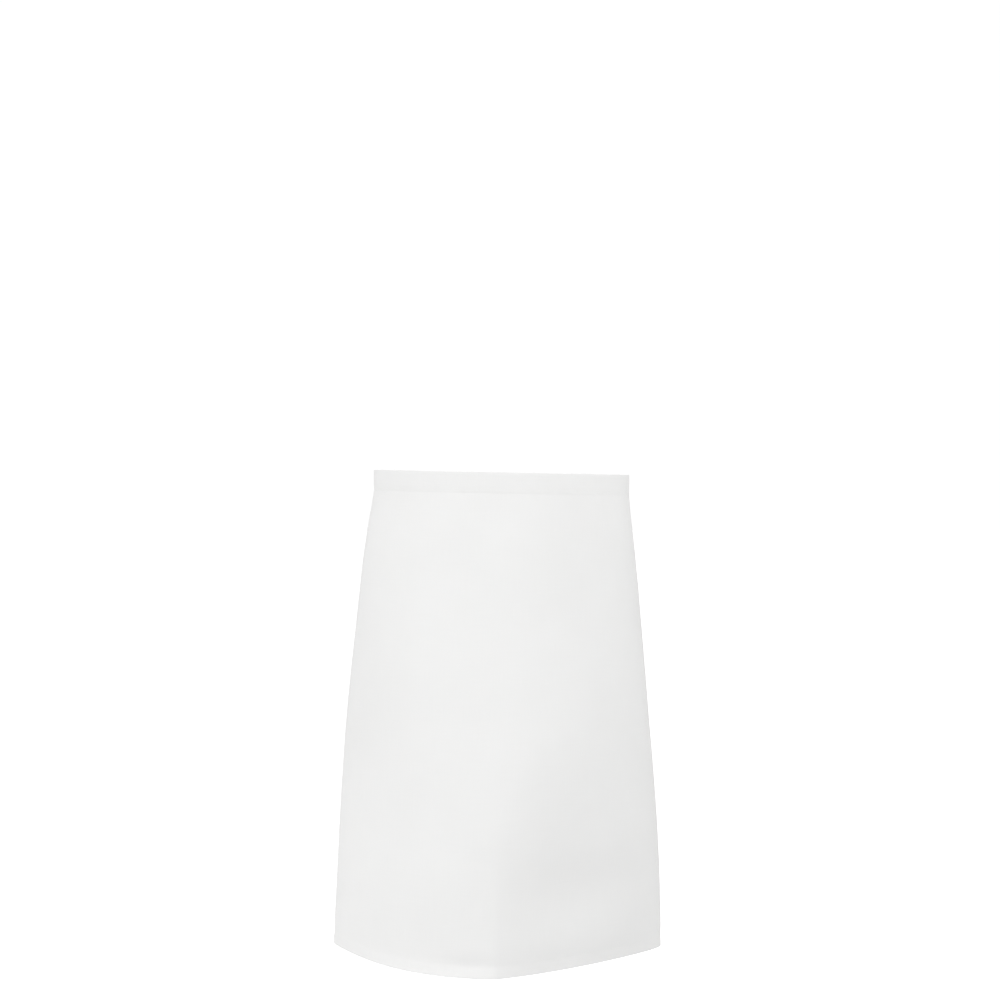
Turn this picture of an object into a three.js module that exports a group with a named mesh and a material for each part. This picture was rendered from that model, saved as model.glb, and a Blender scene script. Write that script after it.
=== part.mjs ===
// A plain white waist apron in the form that it takes when worn. A hemmed cloth panel wraps round the
// hips from a folded waistband, and tape ties from the waistband's ends are knotted behind.
// Units are millimetres and +Z is up. The front faces -Y, and left and right are as seen from the front.
// The origin is the centre of the waist, level with the waistband's top edge.
import * as THREE from "three";
import { mergeVertices } from "three/addons/utils/BufferGeometryUtils.js";
import { RoundedBoxGeometry } from "three/addons/geometries/RoundedBoxGeometry.js";

const { clamp, degToRad, lerp, smoothstep } = THREE.MathUtils;

// The cloth panel
const PANEL_WIDTH = 813; // 32 inches from side edge to side edge, laid flat
const PANEL_DROP = 602.5; // height of the hanging cloth, 24 inches along its slope
const LAYER = 1; // thickness of one layer of cloth
const GAP = 0.3; // clearance between pieces that are sewn or tied together
const SIDE_HEM = 12;
const BOTTOM_HEM = 16;
const HEM_FOLD = 0.6; // extra thickness of a hem, which is turned to the inside
const HEM_STEP = 1; // width of the ramp from the single cloth to the hem
const WAIST_TILT = 0.02; // slope of the top edge, lower on the right
const WAIST_DIP = 0.013; // slope of the top edge, lower in front
const HEM_LEVELLED = 0.5; // the share of both slopes that is gone at the hem

// The waistband and its ties
const BAND_HEIGHT = 25;
const BAND_OVERHANG = 1; // how far the waistband runs past each side edge of the panel
const BAND_RISE = LAYER / 2 + GAP + LAYER; // how far its fold stands above the panel's top edge
const TIE_WIDTH = 20;
const TIE_KNOT_WIDTH = 14; // width of a tie where it is gathered into the knot
const TIE_LAYER = 1.2;
const TIE_LAP = 30; // length of a tie that is sewn on to the waistband
const TIE_DROP = BAND_HEIGHT / 2; // the ties run along the middle of the waistband
const KNOT_SIZE = { width: 22, depth: 13, height: 23, round: 5 };
const END_CLEARANCE = 1.2; // from the knot's underside to the top of each short end
const END_GATHER = 0.4; // share of a short end over which its gathers open out

// How finely the curved pieces are divided
const FRONT_COLUMNS = 32;
const FOLDED_FROM = 300; // the folds near the back edges lie past this distance from the crease
const FOLDED_COLUMNS = 12;
const PANEL_ROWS = 31;
const FOLD_STEPS = 4;
const TIE_STEPS = 8;
const END_STEPS = 8;
const KNOT_STEPS = 3;
const PLAN_STEPS = 120; // steps of the plan curve from the front crease to the centre of the back

// The worn form in horizontal sections. drop is measured down from the top edge, centre is the x of the
// front crease, left and right run from there to the silhouette, and front and back are depths from the
// waist's axis. flat is how far the front leaves an ellipse for a flatter fall from the crease, and
// fall shapes it on the right, where 2 is a round fall and 1 a straight one. The waistband is a straight
// strip and stands upright, so the first section serves all of it.
const SECTIONS = [
  { drop: BAND_HEIGHT, centre: 0, left: 160.2, right: 164, front: 116, back: 114, flat: 0, fall: 2 },
  { drop: 100, centre: -1, left: 172, right: 173, front: 124, back: 121, flat: 0.06, fall: 2 },
  { drop: 200, centre: -2.5, left: 182, right: 183, front: 134, back: 128, flat: 0.16, fall: 2 },
  { drop: 300, centre: -4, left: 191, right: 193, front: 144, back: 134, flat: 0.3, fall: 1.9 },
  { drop: 400, centre: -5.5, left: 197, right: 203, front: 155, back: 139, flat: 0.46, fall: 1.7 },
  { drop: 500, centre: -7, left: 201, right: 210, front: 165, back: 143, flat: 0.63, fall: 1.4 },
  { drop: PANEL_DROP, centre: -8, left: 205, right: 213, front: 175, back: 146, flat: 0.78, fall: 1.2 },
];
const LEFT_FALL = 2; // the same value on the left, at any drop

// Soft folds near the free back edges, each from a place at the waist to a place at the hem. They grow
// from the waist to the hem, where each stands out from the plain form by swell.
const FOLDS = [
  { waist: -398, hem: -378, halfWidth: 22, swell: 16 },
  { waist: -375, hem: -338, halfWidth: 18, swell: -10 },
  { waist: 370, hem: 325, halfWidth: 16, swell: -5 },
  { waist: 388, hem: 354, halfWidth: 23, swell: 18 },
  { waist: 402, hem: 400, halfWidth: 22, swell: -6.5 },
];
const FOLD_GROWTH = 1.5; // the power of the drop by which they grow

// Shallow dents in the front, as places on the cloth, and swells where the depth is negative. The first is
// the soft ridge from the right hip to the crease. lean turns the length up towards the right.
const DENTS = [
  { across: 72, drop: 362, halfLength: 140, halfHeight: 75, lean: 53, depth: -7 },
  { across: 120, drop: 513, halfLength: 85, halfHeight: 42, lean: 1, depth: 9 },
  { across: 130, drop: 602, halfLength: 100, halfHeight: 24, lean: -3, depth: 5 },
  { across: -30, drop: 589, halfLength: 34, halfHeight: 10, lean: 2, depth: 2.2 },
  { across: -110, drop: 628, halfLength: 85, halfHeight: 26, lean: -4, depth: -13 },
  { across: 120, drop: 570, halfLength: 100, halfHeight: 120, lean: 0, depth: -5 },
];

// The short ends of the ties, as points below the middle of the knot's underside
const LEFT_END = [
  [-5, 0, 0], [-8, 1, -16], [-12, 2.5, -38], [-16, 3.5, -62], [-19, 4, -86], [-21, 4, -106],
];
const RIGHT_END = [
  [5, 1.5, 0], [8, 3, -14], [12, 5, -34], [17, 6, -56], [21, 6.5, -77], [24, 6.5, -95],
];

// Even stations from start to end, both included.
function spread(start, end, steps) {
  return Array.from({ length: steps + 1 }, (_, step) => lerp(start, end, step / steps));
}

const SECTION_COLUMNS = Object.keys(SECTIONS[0]);
const sectionCurve = new THREE.CubicInterpolant(
  SECTIONS.map((row) => row.drop),
  SECTIONS.flatMap((row) => SECTION_COLUMNS.map((column) => row[column])),
  SECTION_COLUMNS.length,
);
const sections = new Map();

// The section at any drop, with the lengths along its plan curve on either side of the crease.
function sectionAt(drop) {
  if (!sections.has(drop)) {
    const values = sectionCurve.evaluate(clamp(drop, BAND_HEIGHT, PANEL_DROP));
    const section = Object.fromEntries(SECTION_COLUMNS.map((column, i) => [column, values[i]]));
    section.leftStops = planStops(section, -1);
    section.rightStops = planStops(section, 1);
    sections.set(drop, section);
  }
  return sections.get(drop);
}

// A point of a section's plan curve. The angle is 0 at the front crease and pi at the centre of the back.
function planPoint(section, angle) {
  const aside = Math.sin(angle);
  const ahead = Math.cos(angle);
  const reach = aside < 0 ? section.left : section.right;
  const flatter = 1 - Math.abs(aside) ** (aside < 0 ? LEFT_FALL : section.fall);
  const depth = ahead > 0 ? section.front * lerp(ahead, flatter, section.flat) : section.back * ahead;
  return new THREE.Vector2(section.centre + reach * aside, -depth);
}

// Angles along one side of a section, each with its distance along the cloth from the crease.
function planStops(section, side) {
  const stops = [{ angle: 0, length: 0 }];
  let last = planPoint(section, 0);
  for (const angle of spread(0, side * Math.PI, PLAN_STEPS).slice(1)) {
    const point = planPoint(section, angle);
    stops.push({ angle, length: stops.at(-1).length + point.distanceTo(last) });
    last = point;
  }
  return stops;
}

function angleAt(section, across) {
  const stops = across < 0 ? section.leftStops : section.rightStops;
  const length = clamp(Math.abs(across), 0, stops.at(-1).length);
  const next = Math.max(1, stops.findIndex((stop) => stop.length >= length));
  const [a, b] = [stops[next - 1], stops[next]];
  return lerp(a.angle, b.angle, (length - a.length) / (b.length - a.length));
}

// A place on the middle of the plain cloth, across from the crease and down from the top edge.
function clothPoint(across, drop) {
  const section = sectionAt(drop);
  const plan = planPoint(section, angleAt(section, across));
  const slope = WAIST_TILT * plan.x - WAIST_DIP * plan.y;
  const tilt = slope * (1 - (HEM_LEVELLED * drop) / PANEL_DROP);
  return new THREE.Vector3(plan.x, plan.y, -BAND_RISE - drop - tilt);
}

// The same place with the directions up along the cloth and out from it.
function clothFrame(across, drop) {
  const reach = 1;
  const up = clothPoint(across, drop - reach).sub(clothPoint(across, drop + reach)).normalize();
  const along = clothPoint(across + reach, drop).sub(clothPoint(across - reach, drop));
  const out = along.cross(up).normalize();
  return { point: clothPoint(across, drop), up, out };
}

// How far the folds and dents move the cloth out of its plain form.
function swellAt(across, drop) {
  const share = drop / PANEL_DROP;
  const belowBand = smoothstep(drop, BAND_HEIGHT, 3 * BAND_HEIGHT);
  let swell = 0;
  for (const fold of FOLDS) {
    const beside = (across - lerp(fold.waist, fold.hem, share)) / fold.halfWidth;
    swell += fold.swell * share ** FOLD_GROWTH * Math.exp(-(beside ** 2));
  }
  for (const dent of DENTS) {
    const lean = degToRad(dent.lean);
    const right = across - dent.across;
    const down = drop - dent.drop;
    const alongDent = (right * Math.cos(lean) - down * Math.sin(lean)) / dent.halfLength;
    const acrossDent = (right * Math.sin(lean) + down * Math.cos(lean)) / dent.halfHeight;
    swell -= dent.depth * Math.exp(-(alongDent ** 2) - acrossDent ** 2);
  }
  return swell * belowBand;
}

// The extra thickness of the hems, which end below the waistband.
function hemAt(across, drop) {
  const hemTop = PANEL_DROP - BOTTOM_HEM;
  const hemSide = PANEL_WIDTH / 2 - SIDE_HEM;
  const bandEnd = BAND_HEIGHT + GAP;
  const bottom = smoothstep(drop, hemTop, hemTop + HEM_STEP);
  const side = smoothstep(Math.abs(across), hemSide, hemSide + HEM_STEP);
  const belowBand = smoothstep(drop, bandEnd, bandEnd + HEM_STEP);
  return HEM_FOLD * Math.max(bottom, side * belowBand);
}

// A flat sheet, divided at the given columns and rows, with each corner moved to its place on the apron.
// Columns run to the right, rows run down, and the sheet's front becomes the outer face.
function wrapSheet(columns, rows, place) {
  const [wide, tall] = [columns.length - 1, rows.length - 1];
  const sheet = new THREE.BoxGeometry(wide, tall, 1, wide, tall, 1);
  const corners = sheet.getAttribute("position");
  for (let i = 0; i < corners.count; i++) {
    const column = columns[Math.round(corners.getX(i) + wide / 2)];
    const row = rows[Math.round(tall / 2 - corners.getY(i))];
    const point = place(column, row, corners.getZ(i) > 0);
    corners.setXYZ(i, point.x, point.y, point.z);
  }
  return closed(sheet);
}

// The same geometry with the vertices of neighbouring faces shared.
function closed(geometry) {
  geometry.deleteAttribute("normal");
  geometry.deleteAttribute("uv");
  const merged = mergeVertices(geometry);
  merged.computeVertexNormals();
  return merged;
}

function panelColumns() {
  const side = PANEL_WIDTH / 2;
  const hem = side - SIDE_HEM;
  return [
    -side,
    -hem - HEM_STEP,
    ...spread(-hem, -FOLDED_FROM, FOLDED_COLUMNS),
    ...spread(-FOLDED_FROM, FOLDED_FROM, FRONT_COLUMNS).slice(1, -1),
    ...spread(FOLDED_FROM, hem, FOLDED_COLUMNS),
    hem + HEM_STEP,
    side,
  ];
}

function apronPanel() {
  const bandEnd = BAND_HEIGHT + GAP;
  const hemTop = PANEL_DROP - BOTTOM_HEM;
  const rows = [
    0,
    bandEnd,
    ...spread(bandEnd + HEM_STEP, hemTop, PANEL_ROWS),
    hemTop + HEM_STEP,
    PANEL_DROP - BOTTOM_HEM / 2,
    PANEL_DROP,
  ];
  return wrapSheet(panelColumns(), rows, (across, drop, outer) => {
    const { point, out } = clothFrame(across, drop);
    const face = outer ? LAYER / 2 : -LAYER / 2 - hemAt(across, drop);
    return point.addScaledVector(out, swellAt(across, drop) + face);
  });
}

// A strip folded lengthwise over the top edge. turn is 0 on the outside of the panel and pi on the inside.
function waistband() {
  const end = PANEL_WIDTH / 2 + BAND_OVERHANG;
  const columns = [-end, ...panelColumns().slice(1, -1), end];
  const rows = [
    { drop: BAND_HEIGHT, turn: Math.PI },
    ...spread(Math.PI, 0, FOLD_STEPS).map((turn) => ({ drop: 0, turn })),
    { drop: BAND_HEIGHT, turn: 0 },
  ];
  return wrapSheet(columns, rows, (across, { drop, turn }, outer) => {
    const { point, up, out } = clothFrame(across, drop);
    const radius = LAYER / 2 + GAP + (outer ? LAYER : 0);
    point.addScaledVector(out, radius * Math.cos(turn));
    return point.addScaledVector(up, radius * Math.sin(turn));
  });
}

// The middle of a tie's thickness, out from the middle of the panel's cloth.
const TIE_OUT = LAYER / 2 + GAP + LAYER + GAP + TIE_LAYER / 2;

// A tape that is lapped on to one end of the waistband and follows the waist to the knot.
function tie(side) {
  const { leftStops, rightStops } = sectionAt(TIE_DROP);
  const halfWay = (side < 0 ? leftStops : rightStops).at(-1).length;
  const sewnEnd = PANEL_WIDTH / 2 + BAND_OVERHANG - TIE_LAP;
  const bandEnd = PANEL_WIDTH / 2 + BAND_OVERHANG;
  const knotEnd = halfWay - KNOT_SIZE.width / 2 - GAP;
  const reach = spread(sewnEnd, knotEnd, TIE_STEPS);
  const columns = side < 0 ? reach.map((length) => -length).reverse() : reach;
  return wrapSheet(columns, [0.5, -0.5], (across, edge, outer) => {
    const { point, up, out } = clothFrame(across, TIE_DROP);
    const width = lerp(TIE_WIDTH, TIE_KNOT_WIDTH, smoothstep(Math.abs(across), bandEnd, knotEnd));
    point.addScaledVector(up, edge * width);
    return point.addScaledVector(out, TIE_OUT + (outer ? 0.5 : -0.5) * TIE_LAYER);
  });
}

function knotCentre() {
  const waist = clothPoint(sectionAt(TIE_DROP).rightStops.at(-1).length, TIE_DROP);
  return waist.add(new THREE.Vector3(0, TIE_OUT, 0));
}

function tieKnot() {
  const { width, depth, height, round } = KNOT_SIZE;
  return closed(new RoundedBoxGeometry(width, depth, height, KNOT_STEPS, round));
}

// A short end that hangs from the knot, gathered at the top and full width below.
function tieEnd(route) {
  const start = knotCentre();
  start.z -= KNOT_SIZE.height / 2 + END_CLEARANCE;
  const line = new THREE.CatmullRomCurve3(route.map((step) => new THREE.Vector3(...step).add(start)));
  const gathered = TIE_KNOT_WIDTH / 2;
  return wrapSheet([-0.5, 0.5], spread(0, 1, END_STEPS), (edge, share, outer) => {
    const along = line.getTangentAt(share);
    const out = new THREE.Vector3(0, 1, 0).projectOnPlane(along).normalize();
    const sideways = out.clone().cross(along);
    const width = lerp(gathered, TIE_WIDTH, smoothstep(share, 0, END_GATHER));
    const point = line.getPointAt(share).addScaledVector(sideways, edge * width);
    return point.addScaledVector(out, (outer ? 0.5 : -0.5) * TIE_LAYER);
  });
}

const cloth = new THREE.MeshStandardMaterial({ color: 0xf2f2f1, roughness: 0.86, metalness: 0 });
const tape = new THREE.MeshStandardMaterial({ color: 0xeeeeec, roughness: 0.8, metalness: 0 });

const apron = new THREE.Group();

function addPiece(name, geometry, material, position = new THREE.Vector3()) {
  const piece = new THREE.Mesh(geometry, material.clone());
  piece.name = name;
  piece.position.copy(position);
  apron.add(piece);
}

addPiece("apron_panel", apronPanel(), cloth);
addPiece("waistband", waistband(), cloth);
addPiece("tie_left", tie(-1), tape);
addPiece("tie_right", tie(1), tape);
addPiece("tie_knot", tieKnot(), tape, knotCentre());
addPiece("tie_end_left", tieEnd(LEFT_END), tape);
addPiece("tie_end_right", tieEnd(RIGHT_END), tape);

export default apron;
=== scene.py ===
"""The looks of a plain white waist apron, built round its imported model.

Lengths are metres and +Z is up. The front faces -Y, and left and right are as seen from the front.
Places on the cloth are given across from the front crease and as a drop from the panel's top edge.
"""

import bisect
import math
from collections import namedtuple
from functools import lru_cache
from types import SimpleNamespace

import bmesh
import bpy
from mathutils import Matrix, Vector, noise


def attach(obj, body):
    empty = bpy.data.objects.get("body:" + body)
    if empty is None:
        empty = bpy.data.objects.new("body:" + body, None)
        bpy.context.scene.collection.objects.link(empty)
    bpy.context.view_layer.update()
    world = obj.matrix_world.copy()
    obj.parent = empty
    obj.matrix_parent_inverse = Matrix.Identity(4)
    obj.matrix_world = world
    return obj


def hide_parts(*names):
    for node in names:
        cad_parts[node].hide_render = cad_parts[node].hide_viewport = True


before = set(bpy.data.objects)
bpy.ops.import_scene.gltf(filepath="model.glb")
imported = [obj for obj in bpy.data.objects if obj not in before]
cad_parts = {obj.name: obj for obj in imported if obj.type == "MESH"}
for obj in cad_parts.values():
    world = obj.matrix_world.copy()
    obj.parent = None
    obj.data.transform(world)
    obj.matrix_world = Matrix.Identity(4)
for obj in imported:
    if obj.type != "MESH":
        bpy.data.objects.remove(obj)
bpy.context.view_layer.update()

# A line of the flat cloth: its place on the cut, where that comes to lie, and how far behind the face.
Line = namedtuple("Line", "cut at tuck")
# A long hollow in the cloth, or a swell where its depth is negative.
Trough = namedtuple("Trough", "depth half_width")

# The cut of the cloth
PANEL_WIDTH = 0.813
PANEL_DROP = 0.6025  # the height of that slope
HALF_WIDTH = PANEL_WIDTH / 2
SIDE_HEM = 0.012
BOTTOM_HEM = 0.016
HEM_TOP = PANEL_DROP - BOTTOM_HEM
SIDE_HEM_EDGE = HALF_WIDTH - SIDE_HEM
CLOTH = 0.0005  # one layer of cloth
TURNED = 0.0009  # a hem's turned cloth, whose raw edge is folded under
FOLD = 0.00055  # radius of the fold along a hemmed edge
HEM_PRESSED = 0.00072  # a hem's turned cloth lies this far behind the face along its sewn edge
HEM_LIP = 0.0003  # that edge rounds off over this height
OVER_SIDE_HEM = (SIDE_HEM_EDGE - 0.004, SIDE_HEM_EDGE + 0.001)  # the bottom hem climbs over a side hem here
FACE = 0.0002  # the cloth's middle stands this far out from the model's middle surface
WAIST_TILT = 0.02  # slope of the waist, lower on the right
WAIST_DIP = 0.013  # slope of the waist, lower in front
HEM_LEVELLED = 0.5  # the share of both slopes that is gone at the hem

# The waistband
BAND_HEIGHT = 0.025
BAND_END = HALF_WIDTH + 0.001
BAND_RISE = 0.0018
BAND_CLOSE = 0.001  # its front and back meet over this length at each end
BAND_END_LEAST = 0.25  # the share of its thickness that is left at the very end
BAND_PUFF = 0.0008  # the band's middle stands this far off the panel's middle
BAND_PRESSED = 0.00056  # the same along its sewn lower edge
BAND_PRESS_REACH = 0.0045
BAND_LIP = 0.0001  # the fold along each lower edge rounds off over this height
BAND_RIPPLE = 1.4  # its puckers against those of the hems
BAND_OVER_HEM = (SIDE_HEM_EDGE - 0.003, SIDE_HEM_EDGE)  # its inner leaf climbs over a side hem here
BAND_OVER_TOP = (-0.001, 0.003)  # and does so between these drops
PANEL_CLEAR = (BAND_HEIGHT - 0.0012, BAND_HEIGHT - 0.0001)  # the panel's own relief sets in at this drop
PANEL_SWELL = Trough(-0.9 * BAND_PRESSED, 0.012)  # it swells to meet the band's lower edge

# The ties and the knot
TIE_WIDTH = 0.020
TIE_LAYER = 0.0010
TIE_LAP = 0.030
TIE_DROP = BAND_HEIGHT / 2
TIE_OUT = 0.0019  # the lapped tape's middle, out from the panel's middle
TIE_GATHERED = 0.012  # the tape's width where it is drawn into the knot
TIE_GATHERS = (0.006, 0.050)  # the gathers fade out between these distances from the knot's middle
TIE_PLEAT_SHIFT = 0.6
PLEATS = 5  # half waves of the gathered tape across its width
PLEAT_DEPTH = 0.0014
KNOT_OUT = 0.0029  # the knot's middle, out from the panel's middle
KNOT_WIDE, KNOT_DEEP, KNOT_TALL = 0.0105, 0.0056, 0.0104
KNOT_LEAN = math.radians(13)
KNOT_INSIDE = 0.002  # each tie stops this far short of the knot's middle
KNOT_EDGE_DEEP, KNOT_EDGE_TALL = 0.55, 0.32  # the shares of its depth and height lost at its edges
KNOT_PINCH = 0.14  # the share of its width lost before and behind
KNOT_RIDGE, KNOT_FINE_RIDGE = 0.0004, 0.0002
KNOT_RIDGES, KNOT_FINE_RIDGES = 7, 17  # radians of the ridges' waves from its middle to an edge
KNOT_SWAY = 1.5  # how far the ridges wander round the knot
KNOT_ROUND = 0.009  # mean radius of the turn of tape, for its cut
END_START = 0.0127  # the free ends' tables count down from this far under the knot's middle
END_GATHERED = 0.0085
END_OPEN = 0.045  # they lie open from this far down
END_TWIST = math.radians(14)
END_CURL = 0.0011
END_WAVE, END_WAVES = 0.0006, 70  # height of the slow waves down an end, and their radians to the metre
END_HEM = 0.009  # each free end's tip is turned up by this
END_FOLD = 0.00065  # radius of that fold
END_PRESSED = 0.00103  # the turned tip lies this far behind the face along its sewn edge

# The sewing
STITCH = 0.0031  # from one stitch to the next
STITCH_SHARE = 0.82  # how much of that the thread covers
THREAD_WIDE, THREAD_TALL = 0.00055, 0.00036
EDGE_MARGIN = 0.002  # from a sewn edge to its row of stitches

# The worn form in horizontal sections: the crease's x, the reach to each silhouette, the depths before and
# behind, how far the front leaves an ellipse for a flatter fall, and the power of that fall on the right.
SECTIONS = (
    dict(drop=0.025, centre=0.0, left=0.1602, right=0.164, front=0.116, back=0.114, flat=0.0, fall=2.0),
    dict(drop=0.1, centre=-0.001, left=0.172, right=0.173, front=0.124, back=0.121, flat=0.06, fall=2.0),
    dict(drop=0.2, centre=-0.0025, left=0.182, right=0.183, front=0.134, back=0.128, flat=0.16, fall=2.0),
    dict(drop=0.3, centre=-0.004, left=0.191, right=0.193, front=0.144, back=0.134, flat=0.3, fall=1.9),
    dict(drop=0.4, centre=-0.0055, left=0.197, right=0.203, front=0.155, back=0.139, flat=0.46, fall=1.7),
    dict(drop=0.5, centre=-0.007, left=0.201, right=0.210, front=0.165, back=0.143, flat=0.63, fall=1.4),
    dict(drop=0.6025, centre=-0.008, left=0.205, right=0.213, front=0.175, back=0.146, flat=0.78, fall=1.2),
)
LEFT_FALL = 2.0

# Soft folds near the free back edges, from a place at the waist to a place at the hem, where they are full.
FOLDS = (
    dict(waist=-0.398, hem=-0.378, half_width=0.022, swell=0.016),
    dict(waist=-0.375, hem=-0.338, half_width=0.018, swell=-0.01),
    dict(waist=0.37, hem=0.325, half_width=0.016, swell=-0.005),
    dict(waist=0.388, hem=0.354, half_width=0.023, swell=0.018),
    dict(waist=0.402, hem=0.4, half_width=0.022, swell=-0.0065),
)
FOLD_GROWTH = 1.5  # the power of the drop by which they grow

# Shallow dents in the front, and swells where the depth is negative. The first is the soft ridge from the
# right hip to the crease. lean turns the length up towards the right, in degrees.
DENTS = (
    dict(across=0.072, drop=0.362, half_length=0.14, half_height=0.075, lean=53, depth=-0.007),
    dict(across=0.12, drop=0.513, half_length=0.085, half_height=0.042, lean=1, depth=0.009),
    dict(across=0.13, drop=0.602, half_length=0.1, half_height=0.024, lean=-3, depth=0.005),
    dict(across=-0.03, drop=0.589, half_length=0.034, half_height=0.01, lean=2, depth=0.0022),
    dict(across=-0.11, drop=0.628, half_length=0.085, half_height=0.026, lean=-4, depth=-0.013),
    dict(across=0.12, drop=0.57, half_length=0.1, half_height=0.12, lean=0, depth=-0.005),
)

# The ties' short ends below the knot's underside.
LEFT_END = (
    dict(below=-0.010, x=-0.002, y=0.0),
    dict(below=0.0, x=-0.0045, y=0.0),
    dict(below=0.016, x=-0.008, y=0.001),
    dict(below=0.038, x=-0.012, y=0.0025),
    dict(below=0.062, x=-0.016, y=0.0035),
    dict(below=0.086, x=-0.019, y=0.004),
    dict(below=0.106, x=-0.021, y=0.004),
)
RIGHT_END = (
    dict(below=-0.010, x=0.002, y=0.0015),
    dict(below=0.0, x=0.0045, y=0.0015),
    dict(below=0.014, x=0.008, y=0.003),
    dict(below=0.034, x=0.012, y=0.005),
    dict(below=0.056, x=0.017, y=0.006),
    dict(below=0.077, x=0.021, y=0.0065),
    dict(below=0.095, x=0.024, y=0.0065),
)

# The cloth's faint shapes. Numbers of waves are to the metre, and each PLACE picks a part of the noise.
WAVE_FRONT, WAVE_BACK = 0.0004, 0.0014  # heights of the long waves before and behind
WAVES_GROW = (0.2, 0.33)  # from the one to the other between these distances from the crease
WAVES_ACROSS, WAVES_DOWN, WAVE_PLACE = 8, 5, 0.3
CREASE_HEIGHT = 0.00022
CREASES_ACROSS, CREASES_DOWN, CREASE_PLACE = 26, 19, 4.7
CALM_DROP = 0.09  # the cloth between the waistband and this drop lies calmer
PUCKER_DEPTH, PUCKER_REACH = 0.00024, 0.007
PUCKERS_ALONG, PUCKERS_BESIDE, PUCKER_PLACE = 95, 60, 7.1
GATHER_DEPTH, GATHER_REACH = 0.0003, 0.018  # the puckers under the waistband
BOTTOM_TROUGHS = (Trough(0.0004, 0.008), Trough(0.00015, 0.002))
SIDE_TROUGHS = (Trough(0.0005, 0.005), Trough(0.0003, 0.002))
DRAG_DEPTH, DRAG_REACH = 0.0016, 0.065  # the drag lines from the tie laps
DRAG_CREASES = 9  # radians of their waves to a radian of the fan
DRAG_GROWS = (0.2, 0.32)  # they set in between these distances from the crease
DRAG_FULL = 0.05  # and are full from this drop

# Steps of the grids and curves. Each stretch of the panel's rows has its lower end and its number of steps.
PANEL_COLUMNS = 192
PANEL_ROWS = (
    (PANEL_CLEAR[0], 3),
    (PANEL_CLEAR[1], 1),
    (BAND_HEIGHT + 0.0003, 1),
    (HEM_TOP - 0.012, 116),
    (HEM_TOP + 0.008, 12),
    (PANEL_DROP - FOLD, 6),
)
FOLD_STEPS, HEM_STEPS = 6, 6
BAND_COLUMNS, BAND_ROWS, BAND_FOLD_STEPS, BAND_END_STEPS = 220, 12, 8, 4
TIE_STEPS, TAPE_STEPS = 90, 24  # along a tape and across it
KNOT_STEPS = 64
STITCH_ROUND, STITCH_LONG = 6, 5
PLAN_STEPS = 240
NEARBY = 0.001  # directions on the cloth are taken over this distance to each side

# The camera and the studio
CAMERA_PLACE = (0.0, -2.4, -0.0365)
CAMERA_LENS = 67.5
CAMERA_FAR = 200
WHITE = (1, 1, 1, 1)
ROOM_BRIGHTNESS = 1.02  # of the white room, as it is seen
FRONT_FILL, BACK_FILL = 0.965, 0.36
TOP_FILL = 0.3  # how much more comes from straight above
LIGHTS_AIM = Vector((0, 0, -0.3))
LIGHTS = (
    dict(name="key from above on the right", place=(0.74, -0.82, 0.94), size=0.8, power=4.8),
    dict(name="side light from the left", place=(-2.8, -1.2, 1.4), size=1.6, power=23),
    dict(name="light from above behind", place=(0.25, 1.6, 1.9), size=0.5, power=18),
)
FLOOR_HEIGHT = -1.05  # the waist of a worn apron is about this far up
FLOOR_RADIUS, FLOOR_SIDES = 60.0, 96
FLOOR_POOL = 1.25  # the floor is a little greyer within this distance
FLOOR_SHADE = (0.85, 0.85, 0.85, 1)
FLOOR_ROUGHNESS = 0.9
FLOOR_GLOW = 0.46

# The weave that the cloth, the tape and the thread share
SHEEN_ROUGHNESS = 0.45
SPECULAR_LEVEL = 0.22
DRIFT_SCALE, DRIFT_DETAIL = 7.0, 3.0  # the slow drift of shade
DRIFT_SHARE, YARN_SHARE = 0.7, 0.3  # of the tone
TONE_LOW, TONE_HIGH = 0.3, 0.7  # the tones that get the darker and the lighter shade
SMOOTHER, ROUGHER = 0.04, 0.06  # how far the roughness leaves its middle value
YARN_FINE, YARN_LONG, YARN_DETAIL = 620, 26, 2.0  # streaks across the yarn and along it, to the metre
CROSS_PITCH, TWILL_PITCH = 1.15, 2  # pitches against that of the upright threads
TWILL_HEIGHT, YARN_HEIGHT = 1.4, 2.4  # heights against that of the upright threads
THREAD_WANDER = 1.2
WEAVE_DEPTH = 0.00012


# Numbers and tables


def lerp(a, b, share):
    return a + (b - a) * share


def smooth(value, start, end):
    share = min(max((value - start) / (end - start), 0.0), 1.0)
    return share * share * (3 - 2 * share)


def bump(distance, half_width):
    return math.exp(-((distance / half_width) ** 2))


def spread(start, end, steps):
    return [lerp(start, end, step / steps) for step in range(steps + 1)]


def smooth_table(rows, key):
    """Reads a table between its rows with a smooth curve for each column."""
    keys = [row[key] for row in rows]
    columns = [name for name in rows[0] if name != key]

    def slopes(name):
        pairs = list(zip(rows, rows[1:]))
        rises = [(b[name] - a[name]) / (b[key] - a[key]) for a, b in pairs]
        inner = [(a + b) / 2 for a, b in zip(rises, rises[1:])]
        return [rises[0], *inner, rises[-1]]

    slope = {name: slopes(name) for name in columns}

    def read(value):
        value = min(max(value, keys[0]), keys[-1])
        i = min(bisect.bisect_right(keys, value), len(keys) - 1)
        gap = keys[i] - keys[i - 1]
        p = (value - keys[i - 1]) / gap
        found = {}
        for name in columns:
            a, b = rows[i - 1][name], rows[i][name]
            leave, arrive = slope[name][i - 1] * gap, slope[name][i] * gap
            found[name] = (
                a * (1 + 2 * p) * (1 - p) ** 2 + leave * p * (1 - p) ** 2
                + b * p * p * (3 - 2 * p) - arrive * p * p * (1 - p)
            )
        return SimpleNamespace(**found)

    return read


# The worn form


section_table = smooth_table(SECTIONS, "drop")


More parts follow.
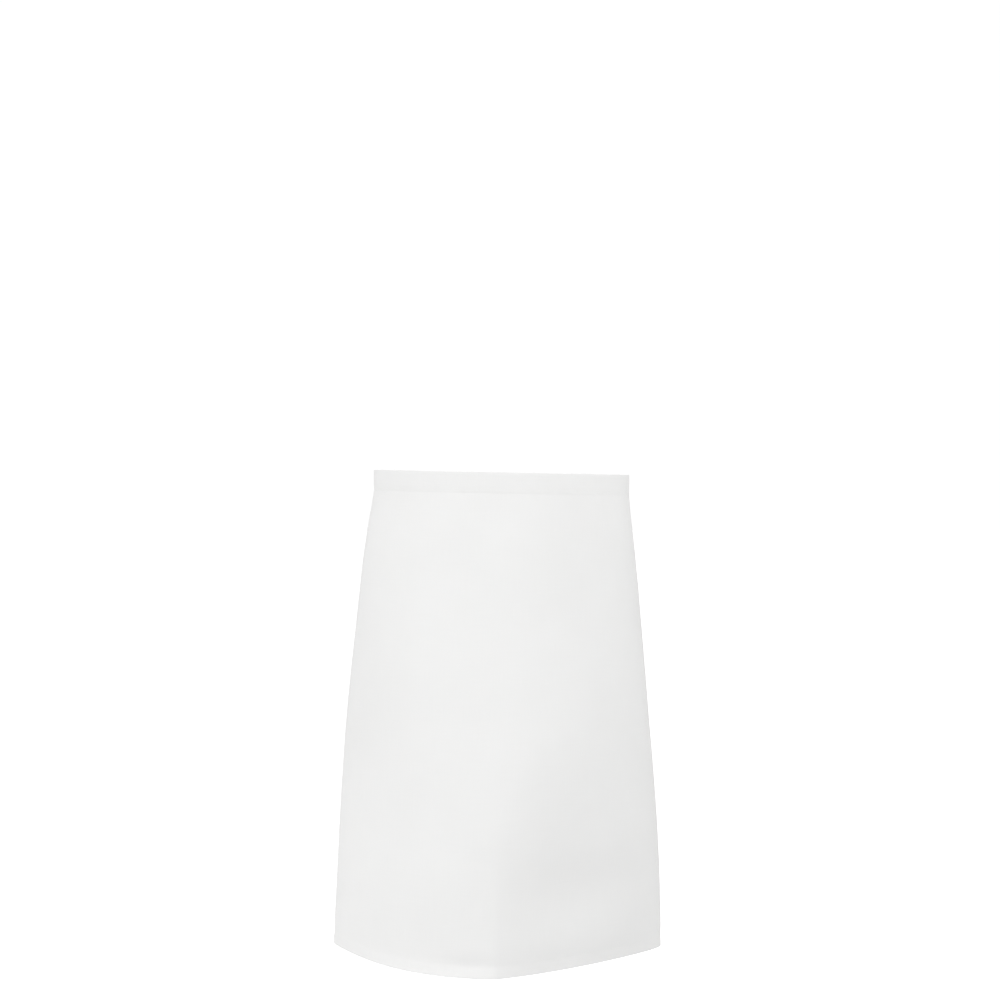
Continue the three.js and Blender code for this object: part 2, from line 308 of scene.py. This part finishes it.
@lru_cache(maxsize=None)
def section_at(drop):
    """The plan section at a drop, with its angles and their distances along the cloth from the crease."""
    section = section_table(drop)
    section.angles = spread(0, math.pi, PLAN_STEPS)
    section.lengths = {}
    for side in (-1, 1):
        points = [plan_point(section, side * angle) for angle in section.angles]
        lengths = [0.0]
        for a, b in zip(points, points[1:]):
            lengths.append(lengths[-1] + (b - a).length)
        section.lengths[side] = lengths
    return section


def plan_point(section, angle):
    aside, ahead = math.sin(angle), math.cos(angle)
    reach = section.left if aside < 0 else section.right
    flatter = 1 - abs(aside) ** (LEFT_FALL if aside < 0 else section.fall)
    depth = section.front * lerp(ahead, flatter, section.flat) if ahead > 0 else section.back * ahead
    return Vector((section.centre + reach * aside, -depth))


def angle_at(section, across):
    side = -1 if across < 0 else 1
    lengths = section.lengths[side]
    length = min(abs(across), lengths[-1])
    i = min(max(bisect.bisect_left(lengths, length), 1), PLAN_STEPS)
    share = (length - lengths[i - 1]) / (lengths[i] - lengths[i - 1])
    return side * lerp(section.angles[i - 1], section.angles[i], share)


def cloth_point(across, drop):
    """A place on the middle surface of the plain worn form."""
    section = section_at(drop)
    x, y = plan_point(section, angle_at(section, across))
    tilt = (WAIST_TILT * x - WAIST_DIP * y) * (1 - HEM_LEVELLED * drop / PANEL_DROP)
    return Vector((x, y, -BAND_RISE - drop - tilt))


def cloth_frame(across, drop):
    """The same place with the directions up along the cloth and out from it."""
    up = cloth_point(across, drop - NEARBY) - cloth_point(across, drop + NEARBY)
    along = cloth_point(across + NEARBY, drop) - cloth_point(across - NEARBY, drop)
    return cloth_point(across, drop), up.normalized(), along.cross(up).normalized()


def folds_and_dents(across, drop):
    """How far the main folds and dents move the cloth out, as in the model."""
    swell = 0.0
    share = drop / PANEL_DROP
    for fold in FOLDS:
        middle = lerp(fold["waist"], fold["hem"], share)
        swell += fold["swell"] * share ** FOLD_GROWTH * bump(across - middle, fold["half_width"])
    for dent in DENTS:
        lean = math.radians(dent["lean"])
        right, down = across - dent["across"], drop - dent["drop"]
        along = right * math.cos(lean) - down * math.sin(lean)
        beside = right * math.sin(lean) + down * math.cos(lean)
        swell -= dent["depth"] * bump(along, dent["half_length"]) * bump(beside, dent["half_height"])
    return swell * smooth(drop, BAND_HEIGHT, 3 * BAND_HEIGHT)


def soft_drape(across, drop):
    """Long faint waves in the hanging cloth, and fainter creases."""
    height = lerp(WAVE_FRONT, WAVE_BACK, smooth(abs(across), *WAVES_GROW))
    waves = height * noise.noise((across * WAVES_ACROSS, drop * WAVES_DOWN, WAVE_PLACE))
    creases = CREASE_HEIGHT * noise.noise((across * CREASES_ACROSS, drop * CREASES_DOWN, CREASE_PLACE))
    return (waves + creases) * smooth(drop, BAND_HEIGHT, CALM_DROP)


def pucker(along, from_row, depth=PUCKER_DEPTH, reach=PUCKER_REACH):
    """The ripple that a row of stitches draws into the cloth beside it."""
    ripple = noise.noise((along * PUCKERS_ALONG, PUCKER_PLACE, from_row * PUCKERS_BESIDE))
    return depth * ripple * bump(from_row, reach)


def trough_depth(trough, distance):
    return trough.depth * bump(distance, trough.half_width)


def pressed_hem(from_edge, troughs):
    """How deep a hem is pressed: a wide trough at its sewn edge, and a narrow one under the stitches."""
    wide, narrow = troughs
    return trough_depth(wide, from_edge) + trough_depth(narrow, from_edge - EDGE_MARGIN)


def hem_relief(across, drop):
    """The troughs and puckers along the hems, and the gathers and the swell under the waistband."""
    bottom, side, band = drop - HEM_TOP, abs(across) - SIDE_HEM_EDGE, drop - BAND_HEIGHT
    pressed = pressed_hem(bottom, BOTTOM_TROUGHS) + pressed_hem(side, SIDE_TROUGHS)
    pressed += trough_depth(PANEL_SWELL, band)
    gathers = pucker(across, band, GATHER_DEPTH, GATHER_REACH)
    return pucker(across, bottom) + pucker(drop, side) + gathers - pressed


def tie_drag(across, drop):
    """Faint creases that fan down from the sewn ends of the ties."""
    side = -1 if across < 0 else 1
    away = abs(across) - (BAND_END - TIE_LAP)
    distance = math.hypot(away, drop) / DRAG_REACH
    turn = math.atan2(away, drop)
    strength = DRAG_DEPTH * distance * math.exp(1 - distance) * smooth(abs(across), *DRAG_GROWS)
    return strength * math.cos(turn * DRAG_CREASES + side) * smooth(drop, BAND_HEIGHT, DRAG_FULL)


def on_cloth(across, drop, depth=0.0):
    """A place on the dressed cloth, depth behind the middle of its face layer."""
    point, _, out = cloth_frame(across, drop)
    relief = folds_and_dents(across, drop) + soft_drape(across, drop)
    relief += hem_relief(across, drop) + tie_drag(across, drop)
    return point + out * (FACE + relief * smooth(drop, *PANEL_CLEAR) - depth)


# Making meshes


def even_lines(start, *stretches):
    """Lines of the flat cloth through stretches, each given by its end and its number of even steps."""
    places = [start]
    for end, steps in stretches:
        places += spread(places[-1], end, steps)[1:]
    return [Line(place, place, 0.0) for place in places]


def mirrored(lines):
    return [Line(-line.cut, -line.at, line.tuck) for line in reversed(lines)]


def turned_hem(edge, hem, fold=FOLD, pressed=HEM_PRESSED):
    """The lines of a hem past the flat cloth: round the fold at the edge, then back along the inside."""
    flat_end = edge - fold
    lines = []
    for turn in spread(0, math.pi, FOLD_STEPS)[1:]:
        place = flat_end + fold * math.sin(turn)
        lines.append(Line(flat_end + fold * turn, place, fold * (1 - math.cos(turn))))
    fold_end = lines[-1].cut
    sewn = hem - fold
    for back in spread(0, sewn - HEM_LIP, HEM_STEPS)[1:] + [sewn]:
        tuck = lerp(2 * fold, pressed, smooth(back, 0, sewn))
        lines.append(Line(fold_end + back, flat_end - back, tuck))
    return lines


def flat_cloth(columns, rows, place, closed=False):
    """A flat grid of cloth whose crossings are moved to their places, with its cut as the UV map."""
    cloth = bmesh.new()
    wide, tall = len(columns) - 1, len(rows) - 1
    bmesh.ops.create_grid(cloth, x_segments=wide, y_segments=tall, size=0.5)
    lines = {}
    for vert in cloth.verts:
        column = columns[round((vert.co.x + 0.5) * wide)]
        row = rows[round((0.5 - vert.co.y) * tall)]
        lines[vert] = (column, row)
    cut = cloth.loops.layers.uv.new("cut")
    for face in cloth.faces:
        for loop in face.loops:
            column, row = lines[loop.vert]
            loop[cut].uv = (column.cut, -row.cut)
    for vert, (column, row) in lines.items():
        vert.co = place(column, row)
    if closed:
        bmesh.ops.remove_doubles(cloth, verts=cloth.verts, dist=1e-7)
    return cloth, lines


def new_piece(name, mesh_maker, material):
    """Turns a bmesh into a named, smooth-shaded piece of the apron."""
    mesh = bpy.data.meshes.new(name)
    mesh_maker.to_mesh(mesh)
    mesh_maker.free()
    for face in mesh.polygons:
        face.use_smooth = True
    mesh.materials.append(material)
    piece = bpy.data.objects.new(name, mesh)
    bpy.context.scene.collection.objects.link(piece)
    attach(piece, "root")
    return piece


def thicken(piece, thickness, group=None):
    layer = piece.modifiers.new("cloth thickness", "SOLIDIFY")
    layer.thickness = thickness
    layer.offset = 0.0
    layer.use_even_offset = True
    if group:
        layer.vertex_group = group.name
    return piece


# Sewing


def one_stitch():
    """A stitch with a half length, half width and half height of 1."""
    shape = bmesh.new()
    bmesh.ops.create_uvsphere(shape, u_segments=STITCH_ROUND, v_segments=STITCH_LONG, radius=1.0)
    stitch = bpy.data.meshes.new("one stitch")
    shape.to_mesh(stitch)
    shape.free()
    return stitch


stitch_shape = one_stitch()


def sew(thread, spots):
    """A row of stitches from spot to spot, each a point with the direction out from the cloth."""
    for (start, out), (end, _) in zip(spots, spots[1:]):
        along = (end - start).normalized()
        out = (out - along * out.dot(along)).normalized()
        half = (end - start).length * STITCH_SHARE / 2
        axes = (along * half, out.cross(along) * THREAD_WIDE / 2, out * THREAD_TALL / 2)
        place = Matrix(axes).transposed().to_4x4()
        place.translation = (start + end) / 2
        stitch = stitch_shape.copy()
        stitch.transform(place)
        thread.from_mesh(stitch)
        bpy.data.meshes.remove(stitch)


def seam(start, end, depth):
    """Stitch-long spots from one place on the cloth to another, depth behind the middle of its face layer."""
    steps = max(1, round(math.dist(start, end) / STITCH))
    spots = []
    for share in spread(0, 1, steps):
        across, drop = lerp(start[0], end[0], share), lerp(start[1], end[1], share)
        spots.append((on_cloth(across, drop, depth), cloth_frame(across, drop)[2]))
    return spots


# Finishes


class Nodes:
    """A node tree, with short ways to add and join nodes."""

    def __init__(self, owner):
        owner.use_nodes = True
        self.tree = owner.node_tree

    def node(self, kind, **values):
        """Adds a node. Each value is set on the node itself, or else on its input of that name."""
        made = self.tree.nodes.new("ShaderNode" + kind)
        for name, value in values.items():
            if hasattr(made, name):
                setattr(made, name, value)
            else:
                made.inputs[name.replace("_", " ")].default_value = value
        return made

    def join(self, start, end):
        self.tree.links.new(start, end)

    def maths(self, operation, *terms):
        made = self.node("Math", operation=operation)
        for socket, term in zip(made.inputs, terms):
            if isinstance(term, (int, float)):
                socket.default_value = term
            else:
                self.join(term, socket)
        return made.outputs[0]

    def threads(self, pitch, turn):
        """Parallel ridges across the cut cloth, one each pitch, turned from upright by an angle."""
        cut = self.node("UVMap", uv_map="cut")
        turned = self.node("Mapping", Rotation=(0, 0, math.radians(turn)))
        # A band texture repeats every pi / 10 at a scale of 1.
        ridges = self.node("TexWave", Scale=math.pi / 10 / pitch, Distortion=THREAD_WANDER, Detail=0.0)
        self.join(cut.outputs[0], turned.inputs[0])
        self.join(turned.outputs[0], ridges.inputs[0])
        return ridges.outputs["Fac"]

    def uneven_yarn(self, stretch):
        """Streaks of thicker and thinner yarn along one way of the cloth."""
        cut = self.node("UVMap", uv_map="cut")
        stretched = self.node("Mapping", Scale=stretch)
        streaks = self.node("TexNoise", Scale=1.0, Detail=YARN_DETAIL)
        self.join(cut.outputs[0], stretched.inputs[0])
        self.join(stretched.outputs[0], streaks.inputs["Vector"])
        return streaks.outputs["Fac"]


def woven(name, shade, dark_shade, pitch, twill, bump_strength, roughness, sheen):
    """A matte woven finish: crossed threads, a twill line, uneven yarn and a faint drift of shade."""
    material = bpy.data.materials.new(name)
    finish = Nodes(material)
    shader = finish.tree.nodes["Principled BSDF"]
    shader.inputs["Sheen Weight"].default_value = sheen
    shader.inputs["Sheen Roughness"].default_value = SHEEN_ROUGHNESS
    shader.inputs["Specular IOR Level"].default_value = SPECULAR_LEVEL

    drift = finish.node("TexNoise", Scale=DRIFT_SCALE, Detail=DRIFT_DETAIL)
    finish.join(finish.node("TexCoord").outputs["Object"], drift.inputs["Vector"])
    upright, crossing = (YARN_FINE, YARN_LONG, 1), (YARN_LONG, YARN_FINE, 1)
    yarn = finish.maths("ADD", finish.uneven_yarn(upright), finish.uneven_yarn(crossing))
    yarn = finish.maths("MULTIPLY", yarn, 0.5)

    weave = finish.maths("ADD", finish.threads(pitch, 0), finish.threads(pitch * CROSS_PITCH, 90))
    twill_lines = finish.maths("MULTIPLY", finish.threads(pitch * TWILL_PITCH, twill), TWILL_HEIGHT)
    weave = finish.maths("ADD", weave, twill_lines)
    height = finish.maths("ADD", weave, finish.maths("MULTIPLY", yarn, YARN_HEIGHT))
    relief = finish.node("Bump", Strength=bump_strength, Distance=WEAVE_DEPTH)
    finish.join(height, relief.inputs["Height"])
    finish.join(relief.outputs[0], shader.inputs["Normal"])

    drift_tone = finish.maths("MULTIPLY", drift.outputs["Fac"], DRIFT_SHARE)
    tone = finish.maths("ADD", drift_tone, finish.maths("MULTIPLY", yarn, YARN_SHARE))
    ramp = finish.node("ValToRGB")
    for stop, place, colour in zip(ramp.color_ramp.elements, (TONE_LOW, TONE_HIGH), (dark_shade, shade)):
        stop.position, stop.color = place, (*colour, 1)
    finish.join(tone, ramp.inputs[0])
    finish.join(ramp.outputs[0], shader.inputs["Base Color"])
    rough = finish.node("MapRange", To_Min=roughness - SMOOTHER, To_Max=roughness + ROUGHER)
    finish.join(tone, rough.inputs["Value"])
    finish.join(rough.outputs[0], shader.inputs["Roughness"])
    return material


white_cloth = woven(
    "white cotton cloth", shade=(0.83, 0.83, 0.825), dark_shade=(0.79, 0.79, 0.785),
    pitch=0.00042, twill=60, bump_strength=0.3, roughness=0.86, sheen=0.12,
)
white_tape = woven(
    "white twill tape", shade=(0.82, 0.82, 0.81), dark_shade=(0.76, 0.76, 0.75),
    pitch=0.0006, twill=45, bump_strength=0.5, roughness=0.84, sheen=0.15,
)
white_thread = woven(
    "white sewing thread", shade=(0.85, 0.85, 0.84), dark_shade=(0.78, 0.78, 0.77),
    pitch=0.0005, twill=20, bump_strength=0.4, roughness=0.7, sheen=0.1,
)


# The camera and the studio


def set_camera():
    data = bpy.data.cameras.new("camera")
    data.lens = CAMERA_LENS
    data.clip_end = CAMERA_FAR
    camera = bpy.data.objects.new("camera", data)
    camera.location = CAMERA_PLACE
    camera.rotation_euler = (math.pi / 2, 0, 0)
    bpy.context.scene.collection.objects.link(camera)
    bpy.context.scene.camera = camera


def set_room():
    """A white room that is seen evenly bright, with a soft fill all round."""
    bpy.context.scene.view_settings.view_transform = "Standard"
    world = bpy.data.worlds.new("studio")
    room = Nodes(world)
    seen = room.tree.nodes["Background"]
    seen.inputs["Color"].default_value = WHITE
    seen.inputs["Strength"].default_value = ROOM_BRIGHTNESS
    # The fill is strongest from the front, at -Y, and from above, and weakest from behind.
    fill = room.node("Background", Color=WHITE)
    parts = room.node("SeparateXYZ")
    front = room.node("MapRange", From_Min=-1.0, To_Min=FRONT_FILL, To_Max=BACK_FILL)
    room.join(room.node("TexCoord").outputs["Generated"], parts.inputs[0])
    room.join(parts.outputs["Y"], front.inputs["Value"])
    strength = room.maths("MULTIPLY_ADD", parts.outputs["Z"], TOP_FILL, front.outputs[0])
    room.join(strength, fill.inputs["Strength"])
    choose = room.node("MixShader")
    room.join(room.node("LightPath").outputs["Is Camera Ray"], choose.inputs[0])
    room.join(fill.outputs[0], choose.inputs[1])
    room.join(seen.outputs[0], choose.inputs[2])
    room.join(choose.outputs[0], room.tree.nodes["World Output"].inputs["Surface"])
    bpy.context.scene.world = world


def set_light(name, place, size, power):
    """A soft round light that is aimed at the middle of the apron."""
    data = bpy.data.lights.new(name, "AREA")
    data.shape = "DISK"
    data.size = size
    data.energy = power
    light = bpy.data.objects.new(name, data)
    light.location = place
    aim = LIGHTS_AIM - Vector(place)
    light.rotation_euler = aim.to_track_quat("-Z", "Y").to_euler()
    bpy.context.scene.collection.objects.link(light)


def floor_paint():
    """White paint that glows past a greyer pool under the apron, so that the floor melts into the room."""
    material = bpy.data.materials.new("white floor")
    paint = Nodes(material)
    shader = paint.tree.nodes["Principled BSDF"]
    shader.inputs["Base Color"].default_value = FLOOR_SHADE
    shader.inputs["Roughness"].default_value = FLOOR_ROUGHNESS
    shader.inputs["Emission Color"].default_value = WHITE
    away = paint.node("VectorMath", operation="LENGTH")
    glow = paint.node(
        "MapRange", interpolation_type="SMOOTHSTEP", From_Min=-FLOOR_HEIGHT,
        From_Max=math.hypot(FLOOR_POOL, FLOOR_HEIGHT), To_Max=FLOOR_GLOW,
    )
    paint.join(paint.node("TexCoord").outputs["Object"], away.inputs[0])
    paint.join(away.outputs["Value"], glow.inputs["Value"])
    # The glow is seen, but it doesn't light the apron from below.
    shown = paint.maths("MULTIPLY", glow.outputs[0], paint.node("LightPath").outputs["Is Camera Ray"])
    paint.join(shown, shader.inputs["Emission Strength"])
    return material


def make_floor():
    mesh = bmesh.new()
    bmesh.ops.create_circle(mesh, cap_ends=True, segments=FLOOR_SIDES, radius=FLOOR_RADIUS)
    bmesh.ops.translate(mesh, verts=mesh.verts, vec=(0, 0, FLOOR_HEIGHT))
    data = bpy.data.meshes.new("floor")
    mesh.to_mesh(data)
    mesh.free()
    data.materials.append(floor_paint())
    floor = bpy.data.objects.new("floor", data)
    bpy.context.scene.collection.objects.link(floor)


# The apron's pieces


def make_panel():
    """The hemmed panel: one cut of cloth with its side and bottom edges turned to the inside."""
    side = turned_hem(HALF_WIDTH, SIDE_HEM)
    columns = mirrored(side) + even_lines(FOLD - HALF_WIDTH, (HALF_WIDTH - FOLD, PANEL_COLUMNS)) + side
    rows = even_lines(0.0, *PANEL_ROWS) + turned_hem(PANEL_DROP, BOTTOM_HEM)

    def place(column, row):
        # The bottom hem is turned up over the side hems.
        over_side = smooth(abs(column.at), *OVER_SIDE_HEM)
        return on_cloth(column.at, row.at, column.tuck + row.tuck * (1 + over_side))

    cloth, lines = flat_cloth(columns, rows, place)
    corners = [
        face for face in cloth.faces
        if all(lines[vert][0].tuck > 0 and lines[vert][1].tuck > 0 for vert in face.verts)
    ]
    turned = [vert.index for vert, (column, row) in lines.items() if column.tuck + row.tuck > FOLD]
    bmesh.ops.delete(cloth, geom=corners, context="FACES_ONLY")
    piece = new_piece("apron_cloth", cloth, white_cloth)
    layers = piece.vertex_groups.new(name="layers")
    layers.add([vert.index for vert in piece.data.vertices], CLOTH / TURNED, "REPLACE")
    layers.add(turned, 1.0, "REPLACE")
    thicken(piece, TURNED, layers)
    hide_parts("apron_panel")
    return piece


def make_hem_stitching():
    """Rows of stitches along the hems, seen on both faces of the cloth."""
    thread = bmesh.new()
    bottom = HEM_TOP + EDGE_MARGIN
    upright = SIDE_HEM_EDGE + EDGE_MARGIN
    for depth in (-CLOTH / 2, HEM_PRESSED + TURNED / 2):
        sew(thread, seam((-HALF_WIDTH + EDGE_MARGIN, bottom), (HALF_WIDTH - EDGE_MARGIN, bottom), depth))
        for across in (-upright, upright):
            sew(thread, seam((across, BAND_HEIGHT), (across, PANEL_DROP), depth))
    piece = new_piece("hem_stitching", thread, white_thread)
    return piece


def band_tuck(drop):
    """How far a leaf of the waistband lies off the panel's middle, closest at its row of stitches."""
    pressed = bump(drop - (BAND_HEIGHT - EDGE_MARGIN), BAND_PRESS_REACH)
    return lerp(BAND_PUFF, BAND_PRESSED, pressed)


def band_lines():
    """The waistband's section from its inner lower edge over the top to its outer lower edge."""
    drops = spread(0.0, BAND_HEIGHT - BAND_LIP, BAND_ROWS)[1:] + [BAND_HEIGHT]
    outer = [Line(BAND_HEIGHT - drop, drop, -band_tuck(drop)) for drop in reversed(drops)]
    over = []
    for turn in spread(0, math.pi, BAND_FOLD_STEPS):
        cut = BAND_HEIGHT + BAND_PUFF * turn
        over.append(Line(cut, -BAND_PUFF * math.sin(turn), -BAND_PUFF * math.cos(turn)))
    inner = [Line(over[-1].cut + drop, drop, band_tuck(drop)) for drop in drops]
    return list(reversed(outer + over + inner))


def band_place(column, row):
    point, _, out = cloth_frame(column.at, row.at)
    reach = abs(column.at)
    ripple = BAND_RIPPLE * pucker(column.at, row.at - BAND_HEIGHT + EDGE_MARGIN)
    past_end = min(max((reach - BAND_END) / BAND_CLOSE, 0.0), 1.0)
    if row.tuck > 0:
        over_hem = smooth(reach, *BAND_OVER_HEM) * smooth(row.at, *BAND_OVER_TOP)
        depth = row.tuck + ripple + 2 * FOLD * over_hem
    else:
        depth = row.tuck - ripple
    return point + out * (FACE - depth * max(math.sqrt(1 - past_end ** 2), BAND_END_LEAST))


def make_waistband():
    """A straight strip folded over the panel's top edge and sewn down, with its ends closed."""
    end = BAND_END + BAND_CLOSE
    columns = even_lines(-end, (-BAND_END, BAND_END_STEPS), (BAND_END, BAND_COLUMNS), (end, BAND_END_STEPS))
    cloth, _ = flat_cloth(columns, band_lines(), band_place)
    piece = thicken(new_piece("waistband_cloth", cloth, white_cloth), CLOTH)
    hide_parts("waistband")
    return piece


def make_waistband_stitching():
    thread = bmesh.new()
    low, end = BAND_HEIGHT - EDGE_MARGIN, BAND_END - EDGE_MARGIN
    for side in (-1, 1):
        depth = side * (BAND_PRESSED + CLOTH / 2)
        sew(thread, seam((-end, low), (end, low), depth))
    piece = new_piece("waistband_stitching", thread, white_thread)
    return piece


def pleats(share, shift):
    """The gathers across a tape, from one edge at -1/2 to the other at 1/2."""
    return PLEAT_DEPTH * math.cos(PLEATS * math.pi * share + shift)


def make_tie(side, name, node):
    """A twill tape sewn flat over an end of the waistband, which runs back and is gathered into the knot."""
    reach = section_at(TIE_DROP).lengths[side][-1]

    def place(column, row):
        gathered = 1 - smooth(reach - abs(column.at), *TIE_GATHERS)
        point, up, out = cloth_frame(column.at, TIE_DROP)
        rise = row.at * lerp(1, TIE_GATHERED / TIE_WIDTH, gathered)
        relief = gathered * pleats(row.at / TIE_WIDTH, side * TIE_PLEAT_SHIFT)
        return point + up * rise + out * (FACE + lerp(TIE_OUT, KNOT_OUT, gathered) + relief)

    columns = even_lines(BAND_END - TIE_LAP, (reach - KNOT_INSIDE, TIE_STEPS))
    if side < 0:
        columns = mirrored(columns)
    rows = even_lines(TIE_WIDTH / 2, (-TIE_WIDTH / 2, TAPE_STEPS))
    tape, _ = flat_cloth(columns, rows, place)
    piece = thicken(new_piece(name, tape, white_tape), TIE_LAYER)
    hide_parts(node)


def sew_tie_laps(thread):
    """A crossed square of stitches through each tie's lap, seen outside and inside the waistband."""
    low, high = TIE_DROP + TIE_WIDTH / 2 - EDGE_MARGIN, TIE_DROP - TIE_WIDTH / 2 + EDGE_MARGIN
    near, far = BAND_END - TIE_LAP + EDGE_MARGIN, BAND_END - 2 * EDGE_MARGIN
    corners = ((near, low), (near, high), (far, high), (far, low))
    lines = [*zip(corners, corners[1:] + corners[:1]), (corners[0], corners[2]), (corners[1], corners[3])]
    for side in (-1, 1):
        for depth in (-TIE_OUT - TIE_LAYER / 2, BAND_PUFF + CLOTH / 2):
            for (across, drop), (next_across, next_drop) in lines:
                sew(thread, seam((side * across, drop), (side * next_across, next_drop), depth))


def knot_middle():
    """The knot sits behind, half way round the waist, at the height of the ties."""
    point, _, out = cloth_frame(section_at(TIE_DROP).lengths[1][-1], TIE_DROP)
    return point + out * (FACE + KNOT_OUT)


def make_knot():
    """The crossing turn of tape that binds both ties, drawn tight into soft ridges."""
    middle = knot_middle()
    lean = Matrix.Rotation(KNOT_LEAN, 3, "Y")

    def place(column, row):
        turn, beside = column.at, row.at
        ridges = KNOT_RIDGE * math.cos(KNOT_RIDGES * beside + KNOT_SWAY * math.sin(turn))
        ridges += KNOT_FINE_RIDGE * math.cos(KNOT_FINE_RIDGES * beside + turn)
        out = (KNOT_DEEP * (1 - KNOT_EDGE_DEEP * beside ** 4) + ridges) * math.cos(turn)
        rise = (KNOT_TALL * (1 - KNOT_EDGE_TALL * beside ** 4) + ridges) * math.sin(turn)
        pinched = 1 - KNOT_PINCH * math.cos(turn) ** 2
        return middle + lean @ Vector((KNOT_WIDE / 2 * pinched * beside, out, rise))

    columns = [Line(turn * KNOT_ROUND, turn, 0.0) for turn in spread(0, 2 * math.pi, KNOT_STEPS)]
    rows = [Line(beside * KNOT_WIDE / 2, beside, 0.0) for beside in spread(1, -1, TAPE_STEPS)]
    tape, _ = flat_cloth(columns, rows, place, closed=True)
    piece = thicken(new_piece("knot_tape", tape, white_tape), TIE_LAYER)
    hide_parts("tie_knot")


def make_tie_end(side, route, name, node, thread):
    """A tie's short free end: gathered under the knot, then opening out flat to its turned-up tip."""
    read = smooth_table(route, "below")
    top, tip = route[0]["below"], route[-1]["below"]
    start = knot_middle() - Vector((0, 0, END_START))

    def middle_line(below):
        spot = read(below)
        return start + Vector((spot.x, spot.y, -below))

    def place(column, row):
        below = row.at
        share = column.at / TIE_WIDTH
        opened = smooth(below, 0.0, END_OPEN)
        along = middle_line(min(below + NEARBY, tip)) - middle_line(max(below - NEARBY, top))
        along.normalize()
        twist = Matrix.Rotation(side * END_TWIST * opened, 3, along)
        out = twist @ (Vector((0, 1, 0)) - along * along.y).normalized()
        beside = out.cross(along) * column.at * lerp(END_GATHERED / TIE_WIDTH, 1, opened)
        curl = END_CURL * opened * (2 * share) ** 2 + END_WAVE * math.sin(END_WAVES * below + side)
        relief = (1 - opened) * pleats(share, side) - curl
        return middle_line(below) + beside + out * (relief - row.tuck)

    columns = even_lines(-TIE_WIDTH / 2, (TIE_WIDTH / 2, TAPE_STEPS))
    rows = even_lines(top, (tip - END_FOLD, TIE_STEPS)) + turned_hem(tip, END_HEM, END_FOLD, END_PRESSED)
    tape, _ = flat_cloth(columns, rows, place)
    piece = thicken(new_piece(name, tape, white_tape), TIE_LAYER)
    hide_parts(node)

    stitches = even_lines(-TIE_WIDTH / 2, (TIE_WIDTH / 2, round(TIE_WIDTH / STITCH)))
    for tuck in (-TIE_LAYER / 2, END_PRESSED + TIE_LAYER / 2):
        sewn = Line(0.0, tip - END_HEM + EDGE_MARGIN, tuck)
        sew(thread, [(place(stitch, sewn), Vector((0, 1, 0))) for stitch in stitches])


set_camera()
set_room()
for light in LIGHTS:
    set_light(**light)
make_floor()
apron_cloth = make_panel()
hem_stitching = make_hem_stitching()
waistband_cloth = make_waistband()
waistband_stitching = make_waistband_stitching()
make_tie(-1, "tie_left_tape", "tie_left")
make_tie(1, "tie_right_tape", "tie_right")
make_knot()
tie_thread = bmesh.new()
sew_tie_laps(tie_thread)
make_tie_end(-1, LEFT_END, "tie_end_left_tape", "tie_end_left", tie_thread)
make_tie_end(1, RIGHT_END, "tie_end_right_tape", "tie_end_right", tie_thread)
new_piece("tie_stitching", tie_thread, white_thread)
